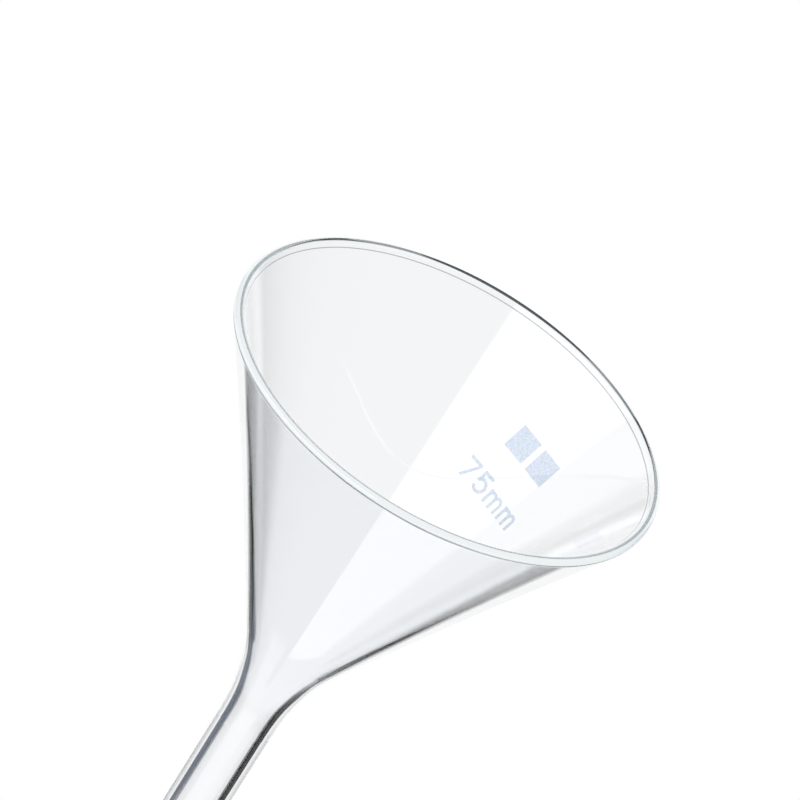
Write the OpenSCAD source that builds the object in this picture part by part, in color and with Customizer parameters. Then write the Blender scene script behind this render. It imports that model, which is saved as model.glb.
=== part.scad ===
// Conical laboratory funnel: a blown glass bowl, a drawn glass stem sealed to it,
// and a fired enamel size mark on the outside of the bowl.
// Origin: on the funnel's axis, at the seal where the stem meets the bowl's neck.
// +Z runs up the axis to the mouth. All sizes are in millimetres.

/* [Glass] */
// Wall thickness of the bowl and of the stem
glass_wall = 1.6; // [1:0.1:2.2]

/* [Bowl] */
// Outer diameter of the bowl at its rim
rim_d = 75; // [60:1:150]
// Full angle of the cone at the rim, in degrees
rim_angle = 60; // [57:0.5:66]
// Full angle of the cone just above the neck, in degrees
throat_angle = 53.5; // [44:0.5:55]
// Radius of the outside curve that runs the neck into the cone
flare_r = 40; // [20:1:60]

/* [Stem] */
// Outer diameter of the stem
stem_d = 9.4; // [7:0.1:14]
// Length of the stem, from the seal to the point of its tip
stem_len = 75; // [25:1:200]
// Angle between the ground tip and the stem's axis, in degrees
tip_angle = 45; // [30:1:75]

/* [Size mark] */
// Turn of the mark's middle around the axis, from +X, in degrees
mark_azimuth = 55; // [0:1:359]
// Drop from the top of the rim to the middle of the line of figures
mark_drop = 23.5; // [18:0.5:28]
// Thickness of the fired enamel
enamel_t = 0.12; // [0.08:0.01:0.3]
// Width of an enamel stroke
stroke = 0.55; // [0.4:0.05:0.7]
// Height of the figures
figure_h = 3.8; // [3:0.1:4.5]
// Width of a figure
figure_w = 2.7; // [2.4:0.1:3]
// Height of the small letters
letter_h = 2.7; // [2:0.1:3]
// Width of a small letter
letter_w = 3.6; // [3.2:0.1:4]
// Gap between neighbours on the line
glyph_gap = 0.7; // [0.5:0.1:1]
// Side of a plain enamel tile
tile_side = 4.6; // [3:0.1:5]
// Gap between the two tiles
tile_gap = 1.2; // [0.8:0.1:2]
// Rise of the tiles' middle above the middle of the line of figures
tile_rise = 9; // [7:0.5:10]

/* [Hidden] */

// Sides of the full turns, and straight steps along each curve of the wall's outline
turn_fn = 180;
flare_steps = 12;
wall_steps = 12;
rim_steps = 12;

// Slope of the wall from the axis, at the neck and at the rim
throat_slope = throat_angle / 2;
rim_slope = rim_angle / 2;

stem_r = stem_d / 2;
bore_r = stem_r - glass_wall;

// A point on a circle of radius r, where the wall leans out by slope degrees
function on_curve(centre, r, slope) = [centre[0] - r * cos(slope), centre[1] + r * sin(slope)];

// Points along that circle, from one lean to the other
function curve(centre, r, from, to, steps) =
    [for (i = [0:steps]) on_curve(centre, r, from + (to - from) * i / steps)];

// The same points without the first, and without the first and the last
function but_first(points) = [for (i = [1:len(points) - 1]) points[i]];
function between(points) = [for (i = [1:len(points) - 2]) points[i]];

// The flare's centre lies level with the seal, so that the neck meets the stem without a step
flare_centre = [stem_r + flare_r, 0];
flare_end = on_curve(flare_centre, flare_r, throat_slope);

// The cone's wall is one long curve that starts in line with the flare and reaches the rim
wall_end_r = rim_d / 2 - glass_wall / 2 * (1 - cos(rim_slope));
wall_curve_r = (wall_end_r - flare_end[0]) / (cos(throat_slope) - cos(rim_slope));
wall_centre = [flare_end[0] + wall_curve_r * cos(throat_slope),
               flare_end[1] - wall_curve_r * sin(throat_slope)];
rim_centre = on_curve(wall_centre, wall_curve_r + glass_wall / 2, rim_slope);
rim_top = rim_centre[1] + glass_wall / 2;

// Where the line of figures crosses the wall's outer face, and the wall's lean there
mark_z = rim_top - mark_drop;
mark_slope = asin((mark_z - wall_centre[1]) / wall_curve_r);
mark_r = on_curve(wall_centre, wall_curve_r, mark_slope)[0];
// Distance from the mark's middle to the point of the cone that touches the wall there
mark_reach = mark_r / sin(mark_slope);

// Line of figures: two figures and two small letters, centred on the mark's middle
line_w = 2 * figure_w + 2 * letter_w + 3 * glyph_gap;
line_start = -line_w / 2;
figure_step = figure_w + glyph_gap;
letter_step = letter_w + glyph_gap;
letters_start = line_start + 2 * figure_step;
baseline = -figure_h / 2;
tile_step = tile_side + tile_gap;

// Depth that a stroke's outline is driven to each side of the wall's face
stroke_reach = 1;

module bowl() {
    flare_in = flare_r + glass_wall;
    wall_in = wall_curve_r + glass_wall;
    color("azure", 0.5) rotate_extrude($fn = turn_fn) polygon(concat(
        curve(flare_centre, flare_r, 0, throat_slope, flare_steps),
        but_first(curve(wall_centre, wall_curve_r, throat_slope, rim_slope, wall_steps)),
        between(curve(rim_centre, glass_wall / 2, rim_slope + 180, rim_slope, rim_steps)),
        curve(wall_centre, wall_in, rim_slope, throat_slope, wall_steps),
        but_first(curve(flare_centre, flare_in, throat_slope, 0, flare_steps))
    ));
}

module stem() {
    cut = 4 * stem_d / sin(tip_angle);
    color("azure", 0.5) difference() {
        translate([0, 0, -stem_len]) cylinder(r = stem_r, h = stem_len, $fn = turn_fn);
        translate([0, 0, -stem_len - 1]) cylinder(r = bore_r, h = stem_len + 2, $fn = turn_fn);
        translate([0, stem_r, -stem_len]) rotate([tip_angle - 90, 0, 0])
            translate([-cut / 2, -cut + 1, -cut]) cube(cut);
    }
}

// Thin skin of enamel on the wall's outer face, where child shapes are driven through it.
// u runs along the line as it is read from inside the bowl, and v up towards the rim.
// The mark is laid straight on the unrolled cone, so its ends keep the middle's direction.
module enamel(u, v) {
    lean = atan2(u, mark_reach + v);
    reach = norm([u, mark_reach + v]);
    azimuth = mark_azimuth - lean / sin(mark_slope);
    z = mark_z + (reach - mark_reach) * cos(mark_slope);
    slope = asin((z - wall_centre[1]) / wall_curve_r);
    spot = on_curve(wall_centre, wall_curve_r, slope);
    color("lightsteelblue") intersection() {
        rotate_extrude($fn = turn_fn) polygon(concat(
            curve(wall_centre, wall_curve_r, throat_slope, rim_slope, wall_steps),
            curve(wall_centre, wall_curve_r - enamel_t, rim_slope, throat_slope, wall_steps)
        ));
        rotate([0, 0, azimuth - 90]) translate([0, spot[0], spot[1]]) rotate([90 - slope, 0, 0])
            rotate([0, 0, lean]) translate([0, 0, -stroke_reach])
                linear_extrude(2 * stroke_reach) children();
    }
}

// Rectangle between two corners
module bar(x0, y0, x1, y1) {
    translate([x0, y0]) square([x1 - x0, y1 - y0]);
}

// Each outline below is centred on its own width, with y measured from the line's middle

module figure_7_2d() {
    left = -figure_w / 2;
    right = figure_w / 2;
    top = figure_h / 2;
    foot = left + figure_w * 0.2;
    polygon([[left, top], [right, top], [right, top - stroke], [foot + stroke, baseline],
             [foot, baseline], [right - stroke, top - stroke], [left, top - stroke]]);
}

module figure_5_2d() {
    left = -figure_w / 2;
    right = figure_w / 2;
    top = figure_h / 2;
    ring_r = figure_w / 2;
    ring_y = baseline + ring_r;
    bar(left + stroke * 0.4, top - stroke, right - stroke * 0.4, top);
    bar(left + stroke * 0.4, ring_y + ring_r * 0.35, left + stroke * 1.4, top);
    difference() {
        translate([0, ring_y]) circle(r = ring_r, $fn = 72);
        translate([0, ring_y]) circle(r = ring_r - stroke, $fn = 72);
        polygon([[0, ring_y], [-2 * ring_r, ring_y + 0.7 * ring_r],
                 [-2 * ring_r, ring_y - ring_r]]);
    }
}

module letter_m_2d() {
    left = -letter_w / 2;
    arch_r = (letter_w + stroke) / 4;
    arch_y = baseline + letter_h - arch_r;
    for (i = [0, 1, 2]) {
        x = left + i * (2 * arch_r - stroke);
        bar(x, baseline, x + stroke, i == 0 ? baseline + letter_h : arch_y);
    }
    for (i = [0, 1]) {
        x = left + arch_r + i * (2 * arch_r - stroke);
        intersection() {
            translate([x, arch_y]) difference() {
                circle(r = arch_r, $fn = 72);
                circle(r = arch_r - stroke, $fn = 72);
            }
            bar(x - arch_r, arch_y, x + arch_r, arch_y + arch_r);
        }
    }
}

module mark_figure(i) {
    enamel(line_start + figure_w / 2 + i * figure_step, 0)
        if (i == 0) figure_7_2d(); else figure_5_2d();
}

module mark_letter(i) {
    enamel(letters_start + letter_w / 2 + i * letter_step, 0) letter_m_2d();
}

module mark_tile(i) {
    enamel((i - 0.5) * tile_step, tile_rise) square(tile_side, center = true);
}

bowl();
stem();
mark_figure(0);  // mark_figure_7
mark_figure(1);  // mark_figure_5
mark_letter(0);  // mark_letter_m_1
mark_letter(1);  // mark_letter_m_2
mark_tile(0);  // mark_tile_1
mark_tile(1);  // mark_tile_2
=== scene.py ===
"""A conical laboratory funnel of clear glass with a fired enamel size mark.

The bowl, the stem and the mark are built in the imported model's frame, in metres,
and stand over a plain pale floor in a ring of plain soft light panels.
"""

import logging
import math
from collections.abc import Callable
from dataclasses import dataclass, field
from enum import Enum

import bmesh
import bpy
from mathutils import Matrix, Vector


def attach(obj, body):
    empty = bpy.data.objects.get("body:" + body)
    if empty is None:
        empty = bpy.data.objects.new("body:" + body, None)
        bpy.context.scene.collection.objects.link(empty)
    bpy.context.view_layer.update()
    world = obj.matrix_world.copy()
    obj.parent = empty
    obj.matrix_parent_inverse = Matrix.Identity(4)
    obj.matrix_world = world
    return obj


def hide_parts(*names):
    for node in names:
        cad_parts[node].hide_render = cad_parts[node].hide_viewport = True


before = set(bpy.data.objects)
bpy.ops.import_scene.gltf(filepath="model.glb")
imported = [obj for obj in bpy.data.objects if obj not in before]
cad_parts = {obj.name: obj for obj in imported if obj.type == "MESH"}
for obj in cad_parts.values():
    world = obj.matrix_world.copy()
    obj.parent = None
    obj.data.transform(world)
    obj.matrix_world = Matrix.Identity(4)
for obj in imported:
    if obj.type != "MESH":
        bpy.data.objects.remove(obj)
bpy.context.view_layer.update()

MM = 0.001
TURN_STEPS = 256
CREASE_DEGREES = 30.0  # a sharper turn between two faces keeps its crease
MERGE_GAP = 1e-6  # metres; points closer than this are one point
ON_SPOT = 1e-7  # metres; a point nearer than this to a place or plane is on it

MeshPart = bmesh.types.BMVert | bmesh.types.BMEdge | bmesh.types.BMFace
OutlinePoint = tuple[float, float]  # distance from the axis, and height

log = logging.getLogger("funnel")


class Slot(Enum):
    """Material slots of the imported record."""

    GLASS = "glass"


class Kind(Enum):
    """The kinds of mesh part that can be selected."""

    VERTS = "VERT"
    EDGES = "EDGE"
    FACES = "FACE"


# ---------------------------------------------------------------- bench tools


def deselect() -> None:
    """Leave nothing selected, so that the next operator acts on its own piece only."""
    if bpy.context.object is not None and bpy.context.object.mode != "OBJECT":
        bpy.ops.object.mode_set(mode="OBJECT")
    bpy.ops.object.select_all(action="DESELECT")


def pick(piece: bpy.types.Object) -> None:
    """Select one piece alone and make it active.

    Args:
        piece: The piece the next operators act on.
    """
    deselect()
    piece.select_set(True)
    bpy.context.view_layer.objects.active = piece


def select_where(piece: bpy.types.Object, test: Callable[[MeshPart], bool],
                 kind: Kind = Kind.VERTS) -> None:
    """Select the parts of the mesh in edit mode that pass a test, and nothing else.

    Args:
        piece: The piece that is in edit mode.
        test: Takes one vertex, edge or face and says whether to select it.
        kind: Which of the three it takes.
    """
    bpy.ops.mesh.select_mode(type=kind.value)
    bpy.ops.mesh.select_all(action="DESELECT")
    mesh = bmesh.from_edit_mesh(piece.data)
    for part in getattr(mesh, kind.name.lower()):
        if test(part):
            part.select_set(True)
    mesh.select_flush_mode()
    bmesh.update_edit_mesh(piece.data)


def draw_on(piece: bpy.types.Object, start: Vector, points: list[Vector]) -> None:
    """Draw an outline onwards from one vertex by extruding it from point to point.

    Args:
        piece: The piece that is in edit mode.
        start: OutlinePoint of the vertex that the outline goes on from.
        points: The places that the outline passes, in order.
    """
    select_where(piece, lambda v: (v.co - start).length < MERGE_GAP)
    here = start
    for point in points:
        bpy.ops.mesh.extrude_region_move(TRANSFORM_OT_translate={"value": tuple(point - here)})
        here = point


def smooth(piece: bpy.types.Object) -> None:
    """Shade a piece smooth, with its creases kept."""
    pick(piece)
    bpy.ops.object.shade_smooth_by_angle(angle=math.radians(CREASE_DEGREES))


def hand_over(piece: bpy.types.Object, name: str, replaced: str) -> None:
    """Name a finished piece, tie it to its body and hide the CAD node that it stands for.

    Args:
        piece: The finished piece.
        name: Its plain name.
        replaced: The CAD node that it stands for.
    """
    piece.name = name
    piece.data.name = name
    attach(piece, "root")
    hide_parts(replaced)


# ------------------------------------------------------------------- finishes


def linear(hex_colour: str) -> tuple[float, float, float, float]:
    """Turn an sRGB hex colour to the linear values that the shaders take.

    Args:
        hex_colour: The colour as "#rrggbb".

    Returns:
        Red, green, blue and a full alpha.
    """
    parts = [int(hex_colour.lstrip("#")[i : i + 2], 16) / 255 for i in (0, 2, 4)]
    r, g, b = (p / 12.92 if p <= 0.04045 else ((p + 0.055) / 1.055) ** 2.4 for p in parts)
    return (r, g, b, 1.0)


def add_node(tree: bpy.types.NodeTree, kind: str, settings: dict | None = None,
             links: dict | None = None) -> bpy.types.Node:
    """Add a node, set its properties and sockets, and link what feeds it.

    Args:
        tree: The node tree.
        kind: The node's type name.
        settings: Property names, or input socket names or numbers, with their values.
        links: Input socket names or numbers with the output sockets that feed them.

    Returns:
        The node.
    """
    node = tree.nodes.new(kind)
    for name, value in (settings or {}).items():
        if isinstance(name, str) and hasattr(node, name):
            setattr(node, name, value)
        else:
            node.inputs[name].default_value = value
    for name, source in (links or {}).items():
        tree.links.new(source, node.inputs[name])
    return node


def new_material(name: str) -> bpy.types.Material:
    """Make an empty node material.

    Args:
        name: What the material is called.

    Returns:
        The material, with no nodes in it.
    """
    material = bpy.data.materials.new(name)
    material.use_nodes = True
    material.node_tree.nodes.clear()
    return material


@dataclass(frozen=True)
class BorosilicateGlass:
    """Clear borosilicate glass, drawn as tube and blown in the flame, then fire-polished.

    Fire leaves the skin mirror smooth, so there is no grain. What the eye gets is
    the bending of the light, with faint lengthwise lines from the drawing and slow
    waves a centimetre or two long from the blowing. Where the wall still guides light
    after piped_after mirror bounces, the glass gives out a painted glow in a pale colour
    instead, because the path would otherwise stop there and leave the rim black.
    """

    name: str = "borosilicate_glass"
    tint: str = "#fcfdfe"
    ior: float = 1.473
    wave_mm: float = 14.0
    wave_depth_mm: float = 0.02
    draw_line_mm: float = 1.1
    draw_depth_mm: float = 0.0002
    draw_squeeze: float = 0.02
    piped_after: float = 4.5
    painted_piped_glow: str = "#f4f8f9"

    def material(self) -> bpy.types.Material:
        """Mix the finished glass.

        Returns:
            The glass material.
        """
        made = new_material(self.name)
        tree = made.node_tree
        place = add_node(tree, "ShaderNodeTexCoord")
        waves = add_node(tree, "ShaderNodeTexNoise",
                         {"Scale": 1 / (self.wave_mm * MM), "Detail": 1.0, "Roughness": 0.4},
                         {"Vector": place.outputs["Object"]})
        drawn = add_node(tree, "ShaderNodeMapping", {"Scale": (1.0, 1.0, self.draw_squeeze)},
                         {"Vector": place.outputs["Object"]})
        lines = add_node(tree, "ShaderNodeTexNoise",
                         {"Scale": 1 / (self.draw_line_mm * MM), "Detail": 2.0, "Roughness": 0.5},
                         {"Vector": drawn.outputs["Vector"]})
        wave_bump = add_node(tree, "ShaderNodeBump",
                             {"Strength": 1.0, "Distance": self.wave_depth_mm * MM},
                             {"Height": waves.outputs["Fac"]})
        line_bump = add_node(tree, "ShaderNodeBump",
                             {"Strength": 1.0, "Distance": self.draw_depth_mm * MM},
                             {"Height": lines.outputs["Fac"], "Normal": wave_bump.outputs["Normal"]})
        # Painted glow: after piped_after mirror bounces the glass emits a pale light, scaled by its
        # Fresnel share.
        path = add_node(tree, "ShaderNodeLightPath")
        spent = add_node(tree, "ShaderNodeMath", {"operation": "GREATER_THAN", 1: self.piped_after},
                         {0: path.outputs["Glossy Depth"]})
        kept_in = add_node(tree, "ShaderNodeFresnel", {"IOR": self.ior})
        painted_glow_strength = add_node(tree, "ShaderNodeMath", {"operation": "MULTIPLY"},
                         {0: spent.outputs[0], 1: kept_in.outputs[0]})
        shader = add_node(tree, "ShaderNodeBsdfPrincipled",
                          {"Base Color": linear(self.tint), "Roughness": 0.0, "IOR": self.ior,
                           "Transmission Weight": 1.0, "Emission Color": linear(self.painted_piped_glow)},
                          {"Normal": line_bump.outputs["Normal"],
                           "Emission Strength": painted_glow_strength.outputs[0]})
        add_node(tree, "ShaderNodeOutputMaterial", links={"Surface": shader.outputs["BSDF"]})
        return made


@dataclass(frozen=True)
class FusedSeam:
    """The melted joint where the stem's glass runs into the bowl's.

    Melting leaves no surface between the two, so light goes straight on.
    """

    def material(self) -> bpy.types.Material:
        """Mix the clear finish of the two faces that meet at the joint.

        Returns:
            The seam's material.
        """
        made = new_material("fused_glass_seam")
        tree = made.node_tree
        shader = add_node(tree, "ShaderNodeBsdfTransparent", {"Color": (1.0, 1.0, 1.0, 1.0)})
        add_node(tree, "ShaderNodeOutputMaterial", links={"Surface": shader.outputs["BSDF"]})
        return made


@dataclass(frozen=True)
class FiredEnamel:
    """Vitreous enamel, screen printed on the glass and fired into it.

    Firing leaves a thin film that light from behind comes through in pale blue. It
    has a fine uneven grain, thinner in places a few tenths of a millimetre wide.
    """

    film: str = "#f0f5fc"
    pigment: str = "#a2b8e0"
    grain_mm: float = 0.35
    grain_low: float = 0.35
    grain_high: float = 0.7
    thin: float = 0.03
    thick: float = 0.16
    roughness: float = 0.35
    ior: float = 1.52
    bump: float = 0.5
    bump_mm: float = 0.01

    def material(self) -> bpy.types.Material:
        """Mix the finished enamel.

        Returns:
            The enamel material.
        """
        made = new_material("fired_enamel")
        tree = made.node_tree
        place = add_node(tree, "ShaderNodeTexCoord")
        grain = add_node(tree, "ShaderNodeTexNoise",
                         {"Scale": 1 / (self.grain_mm * MM), "Detail": 3.0, "Roughness": 0.6},
                         {"Vector": place.outputs["Object"]})
        cover = add_node(tree, "ShaderNodeMapRange",
                         {"From Min": self.grain_low, "From Max": self.grain_high,
                          "To Min": self.thin, "To Max": self.thick},
                         {"Value": grain.outputs["Fac"]})
        bump = add_node(tree, "ShaderNodeBump",
                        {"Strength": self.bump, "Distance": self.bump_mm * MM},
                        {"Height": grain.outputs["Fac"]})
        film = add_node(tree, "ShaderNodeBsdfTransparent", {"Color": linear(self.film)})
        pigment = add_node(tree, "ShaderNodeBsdfPrincipled",
                           {"Base Color": linear(self.pigment), "Roughness": self.roughness,
                            "IOR": self.ior}, {"Normal": bump.outputs["Normal"]})
        both = add_node(tree, "ShaderNodeMixShader", None,
                        {0: cover.outputs[0], 1: film.outputs[0], 2: pigment.outputs[0]})
        add_node(tree, "ShaderNodeOutputMaterial", links={"Surface": both.outputs[0]})
        return made


@dataclass(frozen=True)
class Finishes:
    """The finishes, made once and shared by the pieces."""

    glass: bpy.types.Material
    painted_shade_line: bpy.types.Material
    painted_shade_band: bpy.types.Material
    seam: bpy.types.Material
    enamel: bpy.types.Material


# ------------------------------------------------------------- the glassware


@dataclass
class Bowl:
    """The blown cone with its flared neck and its rounded rim, in millimetres and degrees."""

    wall: float = 1.6
    rim_d: float = 75.0
    rim_slope: float = 30.0
    throat_slope: float = 26.75
    flare_r: float = 40.0
    stem_r: float = 4.7
    flare_steps: int = 24
    wall_steps: int = 32
    rim_steps: int = 24
    seal_z: float = 5.0
    seal_half: float = 3.0
    seal_bead: float = 0.03
    seal_outer_share: float = 0.35
    lip_inner: float = 1.5
    # Turns round the rim's rounding that get painted shade: a dark grey line and a paler grey band.
    shade_line_turns: tuple[float, float] = (-86.0, -64.0)
    shade_band_turns: tuple[float, float] = (22.0, 62.0)
    lip_depth: float = 0.04
    lip_half: float = 0.12
    # Share of the groove's width that gets the grey band of painted shade.
    groove_shade_share: float = 0.7
    lip_reach: float = 1.01
    lip_end: float = 2.3
    lip_steps: int = 25
    enamel_bite: float = 0.02
    wall_r: float = field(init=False)
    flare_centre: OutlinePoint = field(init=False)
    wall_centre: OutlinePoint = field(init=False)
    rim_centre: OutlinePoint = field(init=False)

    def __post_init__(self) -> None:
        """Work out the curves' centres from the named sizes."""
        rim, throat = math.radians(self.rim_slope), math.radians(self.throat_slope)
        self.flare_centre = (self.stem_r + self.flare_r, 0.0)
        flare_end = self.on_curve(self.flare_centre, self.flare_r, self.throat_slope)
        wall_end_r = self.rim_d / 2 - self.wall / 2 * (1 - math.cos(rim))
        self.wall_r = (wall_end_r - flare_end[0]) / (math.cos(throat) - math.cos(rim))
        self.wall_centre = (flare_end[0] + self.wall_r * math.cos(throat),
                            flare_end[1] - self.wall_r * math.sin(throat))
        self.rim_centre = self.on_curve(self.wall_centre, self.wall_r + self.wall / 2,
                                        self.rim_slope)

    @staticmethod
    def on_curve(centre: OutlinePoint, r: float, slope: float) -> OutlinePoint:
        """Return the place on a curve where the wall leans out by slope degrees.

        Args:
            centre: The curve's centre.
            r: The curve's radius.
            slope: The wall's lean from the axis, in degrees.

        Returns:
            The place on the curve.
        """
        lean = math.radians(slope)
        return (centre[0] - r * math.cos(lean), centre[1] + r * math.sin(lean))

    def curve(self, centre: OutlinePoint, r: float, first: float, last: float,
              steps: int) -> list[OutlinePoint]:
        """Return places along a curve from one lean to the other, both ends included."""
        return [self.on_curve(centre, r, first + (last - first) * i / steps)
                for i in range(steps + 1)]

    def seal(self, place: OutlinePoint, side: float) -> Vector:
        """Put a place of the outline in space, with the low bead of the flame seal.

        Args:
            place: The place on the outline.
            side: 1 on the outer face and -1 on the inner face.

        Returns:
            The place in metres, on the XZ plane.
        """
        r, z = place
        gap = (z - self.seal_z) / self.seal_half
        share = self.seal_outer_share if side > 0 else 1.0
        bead = self.seal_bead * math.exp(-gap * gap)
        return Vector((r + side * bead * share, 0.0, z)) * MM

    def lip(self, r: float, side: float) -> list[OutlinePoint]:
        """Return the wall's places just under the rim, with the inner face's faint groove.

        Args:
            r: Radius of the wall's long curve on this face.
            side: 1 on the outer face and -1 on the inner face.

        Returns:
            The places from the rim's round downwards.
        """
        places = []
        for step in range(1, self.lip_steps + 1):
            down = self.wall / 2 + (self.lip_end - self.wall / 2) * step / self.lip_steps
            away = (down - self.lip_inner) / self.lip_half
            groove = 0.0 if side > 0 else self.lip_depth * math.exp(-away ** 2)
            lean = self.rim_slope - math.degrees((down - self.wall / 2) / self.wall_r)
            places.append(self.on_curve(self.wall_centre, r - groove, lean))
        return places

    def outline(self, offset: float, side: float) -> list[Vector]:
        """Return one face's places from the rim's round down to the seam.

        Args:
            offset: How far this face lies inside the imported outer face.
            side: 1 on the outer face and -1 on the inner face.

        Returns:
            The places in metres, on the XZ plane.
        """
        r = self.wall_r + offset
        lip = self.lip(r, side)
        first = self.rim_slope - math.degrees((self.lip_end - self.wall / 2) / self.wall_r)
        wall = self.curve(self.wall_centre, r, first, self.throat_slope, self.wall_steps)[1:]
        flare = self.curve(self.flare_centre, self.flare_r + offset, self.throat_slope, 0.0,
                           self.flare_steps)[1:-1]
        end = self.stem_r if side > 0 else self.stem_r - self.wall
        return [self.seal(p, side) for p in lip + wall + flare] + [Vector((end, 0.0, 0.0)) * MM]

    def build(self, finishes: Finishes) -> bpy.types.Object:
        """Draw the wall's outline from a half-round rim downwards and spin it to a bowl.

        Args:
            finishes: The shared finishes.

        Returns:
            The finished bowl.
        """
        half = self.wall / 2
        centre = Vector((self.rim_centre[0], 0.0, self.rim_centre[1])) * MM
        deselect()
        bpy.ops.mesh.primitive_circle_add(
            vertices=2 * self.rim_steps, radius=half * MM, location=centre,
            rotation=(math.radians(90), math.radians(self.rim_slope), 0.0))
        bowl = bpy.context.object
        bpy.ops.object.transform_apply(location=True, rotation=True, scale=True)
        lean = math.radians(self.rim_slope)
        up = Vector((math.sin(lean), 0.0, math.cos(lean)))
        bpy.ops.object.mode_set(mode="EDIT")
        select_where(bowl, lambda v: (v.co - centre).dot(up) < -ON_SPOT)
        bpy.ops.mesh.delete(type="VERT")
        across = Vector((math.cos(lean), 0.0, -math.sin(lean))) * half * MM
        outer = self.outline(-self.enamel_bite, 1.0)
        inner = self.outline(self.wall, -1.0)
        draw_on(bowl, centre + across, outer)
        draw_on(bowl, centre - across, inner)
        select_where(bowl, lambda v: min((v.co - outer[-1]).length,
                                         (v.co - inner[-1]).length) < ON_SPOT)
        bpy.ops.mesh.edge_face_add()
        bpy.ops.mesh.select_all(action="SELECT")
        bpy.ops.mesh.spin(steps=TURN_STEPS, angle=math.tau, center=(0, 0, 0), axis=(0, 0, 1))
        bpy.ops.mesh.select_all(action="SELECT")
        bpy.ops.mesh.remove_doubles(threshold=MERGE_GAP)
        bpy.ops.mesh.normals_make_consistent(inside=False)
        self.dress(bowl, finishes)
        smooth(bowl)
        hand_over(bowl, "glass_bowl", "bowl")
        return bowl

    def lip_place(self, place: Vector) -> tuple[float, float, float]:
        """Say where a place lies on the lip.

        Args:
            place: A place on the bowl, in metres.

        Returns:
            Its turn round the rim's rounding in degrees, from the top and positive
            inwards, its distance from the rounding's centre and its distance down the
            wall from the top, both in millimetres.
        """
        lean = math.radians(self.rim_slope)
        out = math.hypot(place.x, place.y) / MM - self.rim_centre[0]
        rise = place.z / MM - self.rim_centre[1]
        along = out * math.sin(lean) + rise * math.cos(lean)
        inwards = rise * math.sin(lean) - out * math.cos(lean)
        return (math.degrees(math.atan2(inwards, along)), math.hypot(out, rise),
                self.wall / 2 - along)

    def on_round(self, face: bmesh.types.BMFace, turns: tuple[float, float]) -> bool:
        """Say whether a face lies on the rim's rounding between two turns."""
        turn, reach, _ = self.lip_place(face.calc_center_median())
        return reach < self.wall / 2 * self.lip_reach and turns[0] < turn < turns[1]

    def on_groove_shade(self, face: bmesh.types.BMFace) -> bool:
        """Say whether a face lies in the fine line along the inner face's faint groove, which gets
        painted shade.
        """
        turn, _, down = self.lip_place(face.calc_center_median())
        return turn > 90 and abs(down - self.lip_inner) < self.lip_half * self.groove_shade_share

    def dress(self, bowl: bpy.types.Object, finishes: Finishes) -> None:
        """Give the wall its glass, the lip its lines and bands of painted shade, and the seam its
        clear finish.

        Args:
            bowl: The bowl, in edit mode.
            finishes: The shared finishes.
        """
        parts = (
            (finishes.glass, lambda f: True),
            (finishes.seam, lambda f: all(abs(v.co.z) < ON_SPOT for v in f.verts)),
            # Painted shade: dark grey tinted glass on one part of the rim's rounding draws a dark
            # line.
            (finishes.painted_shade_line, lambda f: self.on_round(f, self.shade_line_turns)),
            # Painted shade: paler grey tinted glass on a second part of the rounding and on the
            # inner groove.
            (finishes.painted_shade_band, lambda f: self.on_round(f, self.shade_band_turns)
             or self.on_groove_shade(f)),
        )
        for number, (finish, test) in enumerate(parts):
            bowl.data.materials.append(finish)
            select_where(bowl, test, Kind.FACES)
            bowl.active_material_index = number
            bpy.ops.object.material_slot_assign()
        bpy.ops.object.mode_set(mode="OBJECT")


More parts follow.
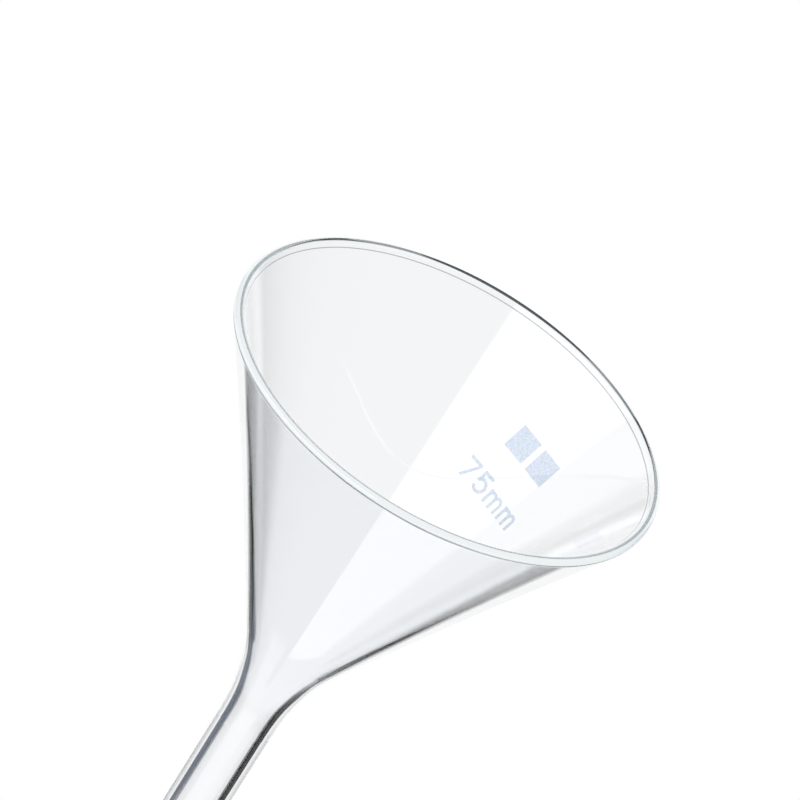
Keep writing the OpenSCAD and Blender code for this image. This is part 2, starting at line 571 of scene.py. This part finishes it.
@dataclass
class Stem:
    """The drawn tube with its ground and fire-polished tip, in millimetres and degrees."""

    outer_r: float = 4.7
    wall: float = 1.6
    length: float = 75.0
    tip_angle: float = 45.0
    tip_round: float = 0.28
    tip_steps: int = 5
    tip_edge_turn: float = 20.0
    spare: float = 4.0

    def tip_side(self) -> tuple[Vector, Vector]:
        """Say where the tip is ground.

        Returns:
            A place on the tip's ground face, and the way that face looks.
        """
        slant = math.radians(self.tip_angle)
        place = Vector((0.0, self.outer_r, -self.length)) * MM
        return place, Vector((0.0, -math.cos(slant), -math.sin(slant)))

    def build(self, finishes: Finishes) -> bpy.types.Object:
        """Make the two faces of the tube, cut the tip and close both ends.

        Args:
            finishes: The shared finishes.

        Returns:
            The finished stem.
        """
        depth = (self.length + self.spare) * MM
        deselect()
        for radius in (self.outer_r, self.outer_r - self.wall):
            bpy.ops.mesh.primitive_cylinder_add(
                vertices=TURN_STEPS, radius=radius * MM, depth=depth, end_fill_type="NOTHING",
                location=(0.0, 0.0, -depth / 2))
            if bpy.context.object.mode != "EDIT":
                bpy.ops.object.transform_apply(location=True, rotation=True, scale=True)
                bpy.ops.object.mode_set(mode="EDIT")
        bpy.ops.mesh.flip_normals()
        stem = bpy.context.object
        place, looks = self.tip_side()
        bpy.ops.mesh.select_all(action="SELECT")
        bpy.ops.mesh.bisect(plane_co=place, plane_no=looks, clear_outer=True)
        select_where(stem, lambda e: e.is_boundary and all(
            abs((v.co - place).dot(looks)) < ON_SPOT for v in e.verts), Kind.EDGES)
        bpy.ops.mesh.bridge_edge_loops()
        select_where(stem, lambda e: e.is_boundary, Kind.EDGES)
        bpy.ops.mesh.bridge_edge_loops()
        bpy.ops.mesh.select_all(action="SELECT")
        bpy.ops.mesh.normals_make_consistent(inside=False)
        select_where(stem, lambda e: len(e.link_faces) == 2 and all(
            abs((v.co - place).dot(looks)) < ON_SPOT for v in e.verts)
            and e.calc_face_angle(0) > math.radians(self.tip_edge_turn), Kind.EDGES)
        bpy.ops.mesh.bevel(offset=self.tip_round * MM, segments=self.tip_steps, profile=0.5,
                           affect="EDGES")
        self.dress(stem, finishes)
        smooth(stem)
        hand_over(stem, "glass_stem", "stem")
        return stem

    def dress(self, stem: bpy.types.Object, finishes: Finishes) -> None:
        """Give the tube its glass and the ring that meets the bowl its fused seam.

        Args:
            stem: The stem, in edit mode.
            finishes: The shared finishes.
        """
        stem.data.materials.append(finishes.glass)
        stem.data.materials.append(finishes.seam)
        select_where(stem, lambda f: all(abs(v.co.z) < ON_SPOT for v in f.verts), Kind.FACES)
        stem.active_material_index = 1
        bpy.ops.object.material_slot_assign()
        bpy.ops.object.mode_set(mode="OBJECT")


@dataclass
class SizeMark:
    """The fired enamel mark: its figures, its small letters and its two plain tiles."""

    nodes: tuple[str, ...] = ("mark_figure_7", "mark_figure_5", "mark_letter_m_1",
                              "mark_letter_m_2", "mark_tile_1", "mark_tile_2")

    def dress(self, finishes: Finishes) -> list[bpy.types.Object]:
        """Give the mark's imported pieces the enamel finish.

        Args:
            finishes: The shared finishes.

        Returns:
            The pieces of the mark.
        """
        pieces = [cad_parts[name] for name in self.nodes]
        for piece in pieces:
            for slot in piece.material_slots:
                slot.material = finishes.enamel
        return pieces


# ------------------------------------------------------------------ the studio


@dataclass(frozen=True)
class Panel:
    """One soft light panel of the ring, as the part of the sky that it fills.

    Angles are in degrees. Azimuth runs from +Y towards -X, and elevation up from level.
    """

    azimuth: float
    elevation: float
    width: float
    height: float
    level: float
    soft: float = 3.0
    colour: str = "#ffffff"

    def light(self) -> tuple[float, float, float, float]:
        """Return the panel's colour at its level."""
        r, g, b, _ = linear(self.colour)
        return (r * self.level, g * self.level, b * self.level, 1.0)


@dataclass
class Studio:
    """Plain pale floor, ring of soft panels and the camera.

    Sizes are in millimetres and angles in degrees, apart from the floor's width and
    the camera's near and far limits, which are in metres.
    """

    floor_z: float = -76.0
    floor_size: float = 60.0
    dim: float = 0.02
    aim_z: float = 71.006
    distance: float = 1500.0
    elevation: float = 30.76
    roll: float = 31.97
    aside: float = 7.52
    lens: float = 430.37
    sensor: float = 36.0
    near: float = 0.05
    far: float = 100.0
    panels: tuple[Panel, ...] = (
        # Pale ground all round, with the dark strip that the steep sides bend into view.
        Panel(0.0, -72.0, 400.0, 44.0, 0.7, 10.0, "#f4f9ff"),
        Panel(0.0, -70.0, 90.0, 12.0, 0.03, 4.0),
        # White screens that stand behind the clear glass, on each side that it is seen from.
        Panel(0.0, -14.0, 64.0, 72.0, 1.0, 8.0),
        Panel(50.0, -19.0, 46.0, 19.0, 1.0, 6.0),
        Panel(90.0, -6.0, 60.0, 48.0, 1.0, 10.0),
        Panel(-135.0, -15.0, 56.0, 40.0, 1.0, 10.0),
        Panel(176.0, -31.0, 76.0, 34.0, 1.0, 10.0),
        # Dim and dark cards that draw the lines along the cone's and the stem's edges.
        Panel(79.0, -26.0, 18.0, 8.0, 0.2, 4.0),
        Panel(54.0, -45.0, 40.0, 32.0, 0.2, 6.0, "#dbe8ff"),
        Panel(27.0, -47.5, 13.0, 8.0, 0.03, 3.0),
        Panel(-18.0, -46.5, 8.0, 4.0, 0.65, 3.0),
        Panel(-29.5, -49.5, 12.0, 8.0, 0.0, 3.0),
        # The window that the far inner wall mirrors as a bright wedge, and its dimmer foot.
        Panel(136.0, -12.0, 80.0, 40.0, 0.8, 8.0),
        Panel(136.0, 20.0, 80.0, 34.0, 2.3),
    )

    def build_floor(self) -> bpy.types.Object:
        """Lay the plain pale floor. It glows evenly, as a light table does.

        Returns:
            The floor.
        """
        deselect()
        bpy.ops.mesh.primitive_plane_add(size=self.floor_size, location=(0, 0, self.floor_z * MM))
        floor = bpy.context.object
        floor.name = "floor"
        made = new_material("pale_floor")
        glow = add_node(made.node_tree, "ShaderNodeEmission",
                        {"Color": (1.0, 1.0, 1.0, 1.0), "Strength": 1.0})
        add_node(made.node_tree, "ShaderNodeOutputMaterial",
                 links={"Surface": glow.outputs["Emission"]})
        floor.data.materials.append(made)
        floor.visible_glossy = False
        floor.visible_transmission = False
        return floor

    def build_world(self) -> None:
        """Fill the sky with the soft panels over an even dim level."""
        world = bpy.data.worlds.new("studio")
        world.use_nodes = True
        bpy.context.scene.world = world
        tree = world.node_tree
        tree.nodes.clear()
        way = add_node(tree, "ShaderNodeTexCoord")
        axes = add_node(tree, "ShaderNodeSeparateXYZ", links={"Vector": way.outputs["Generated"]})
        left = add_node(tree, "ShaderNodeMath", {"operation": "MULTIPLY", 1: -1.0},
                        {0: axes.outputs["X"]})
        azimuth = add_node(tree, "ShaderNodeMath", {"operation": "ARCTAN2"},
                           {0: left.outputs[0], 1: axes.outputs["Y"]})
        height = add_node(tree, "ShaderNodeMath", {"operation": "ARCSINE"},
                          {0: axes.outputs["Z"]})
        light = add_node(tree, "ShaderNodeRGB")
        light.outputs[0].default_value = (self.dim, self.dim, self.dim, 1.0)
        total = light.outputs[0]
        for panel in self.panels:
            total = self.add_panel(tree, panel, azimuth.outputs[0], height.outputs[0], total)
        sky = add_node(tree, "ShaderNodeBackground", {"Strength": 1.0}, {"Color": total})
        add_node(tree, "ShaderNodeOutputWorld", links={"Surface": sky.outputs[0]})

    def add_panel(self, tree: bpy.types.NodeTree, panel: Panel, azimuth: bpy.types.NodeSocket,
                  height: bpy.types.NodeSocket,
                  total: bpy.types.NodeSocket) -> bpy.types.NodeSocket:
        """Hang one panel in the sky, in front of the ones before it.

        Args:
            tree: The world's node tree.
            panel: The panel.
            azimuth: Socket with the direction's azimuth in radians.
            height: Socket with the direction's elevation in radians.
            total: Socket with the light so far.

        Returns:
            The socket with the panel's light put in.
        """
        away = add_node(tree, "ShaderNodeMath", {"operation": "SUBTRACT",
                                                 1: math.radians(panel.azimuth)}, {0: azimuth})
        wrapped = add_node(tree, "ShaderNodeMath", {"operation": "WRAP", 1: math.pi, 2: -math.pi},
                           {0: away.outputs[0]})
        beside = add_node(tree, "ShaderNodeMath", {"operation": "ABSOLUTE"},
                          {0: wrapped.outputs[0]})
        over = add_node(tree, "ShaderNodeMath", {"operation": "SUBTRACT",
                                                 1: math.radians(panel.elevation)}, {0: height})
        above = add_node(tree, "ShaderNodeMath", {"operation": "ABSOLUTE"}, {0: over.outputs[0]})
        shares = []
        for gap, size in ((beside, panel.width), (above, panel.height)):
            edge = math.radians(size / 2)
            blur = math.radians(panel.soft / 2)
            shares.append(add_node(
                tree, "ShaderNodeMapRange",
                {"interpolation_type": "SMOOTHSTEP", "From Min": edge + blur,
                 "From Max": edge - blur, "To Min": 0.0, "To Max": 1.0},
                {"Value": gap.outputs[0]}))
        share = add_node(tree, "ShaderNodeMath", {"operation": "MULTIPLY"},
                         {0: shares[0].outputs[0], 1: shares[1].outputs[0]})
        return add_node(tree, "ShaderNodeMix", {"data_type": "RGBA", 7: panel.light()},
                        {0: share.outputs[0], 6: total}).outputs[2]

    def build_camera(self) -> bpy.types.Object:
        """Aim the camera at the mouth, looking down and leaning over.

        Returns:
            The camera.
        """
        tilt, lean = math.radians(self.elevation), math.radians(self.roll)
        ahead = Vector((0.0, math.cos(tilt), -math.sin(tilt)))
        level_up = Vector((0.0, math.sin(tilt), math.cos(tilt)))
        right = Vector((1.0, 0.0, 0.0)) * math.cos(lean) + level_up * math.sin(lean)
        up = level_up * math.cos(lean) - Vector((1.0, 0.0, 0.0)) * math.sin(lean)
        place = Vector((0.0, 0.0, self.aim_z)) - ahead * self.distance - right * self.aside
        bpy.ops.object.camera_add()
        camera = bpy.context.object
        camera.matrix_world = (Matrix.Translation(place * MM)
                               @ Matrix((right, up, -ahead)).transposed().to_4x4())
        camera.data.lens = self.lens
        camera.data.sensor_width = self.sensor
        camera.data.clip_start, camera.data.clip_end = self.near, self.far
        bpy.context.scene.camera = camera
        return camera

    def build(self) -> None:
        """Lay the floor, light the studio and place the camera."""
        deselect()
        self.build_camera()
        self.build_floor()
        self.build_world()
        bpy.context.scene.view_settings.view_transform = "Standard"


def main() -> None:
    """Build the funnel piece by piece, then the studio round it."""
    logging.basicConfig(level=logging.INFO, format="%(message)s")
    finishes = Finishes(
        glass=BorosilicateGlass().material(),
        # Painted shade: glass tinted dark grey draws the rim's dark line.
        painted_shade_line=BorosilicateGlass("painted_shade_lip_line", "#4b5154").material(),
        # Painted shade: glass tinted mid grey draws the paler grey bands on the rim and in the
        # groove.
        painted_shade_band=BorosilicateGlass("painted_shade_lip_band", "#8d9598").material(),
        seam=FusedSeam().material(), enamel=FiredEnamel().material())
    Studio().build()
    pieces = [Bowl().build(finishes), Stem().build(finishes)]
    pieces += SizeMark().dress(finishes)
    for piece in pieces:
        log.info("%s: %d faces", piece.name, len(piece.data.polygons))


if __name__ == "__main__":
    main()
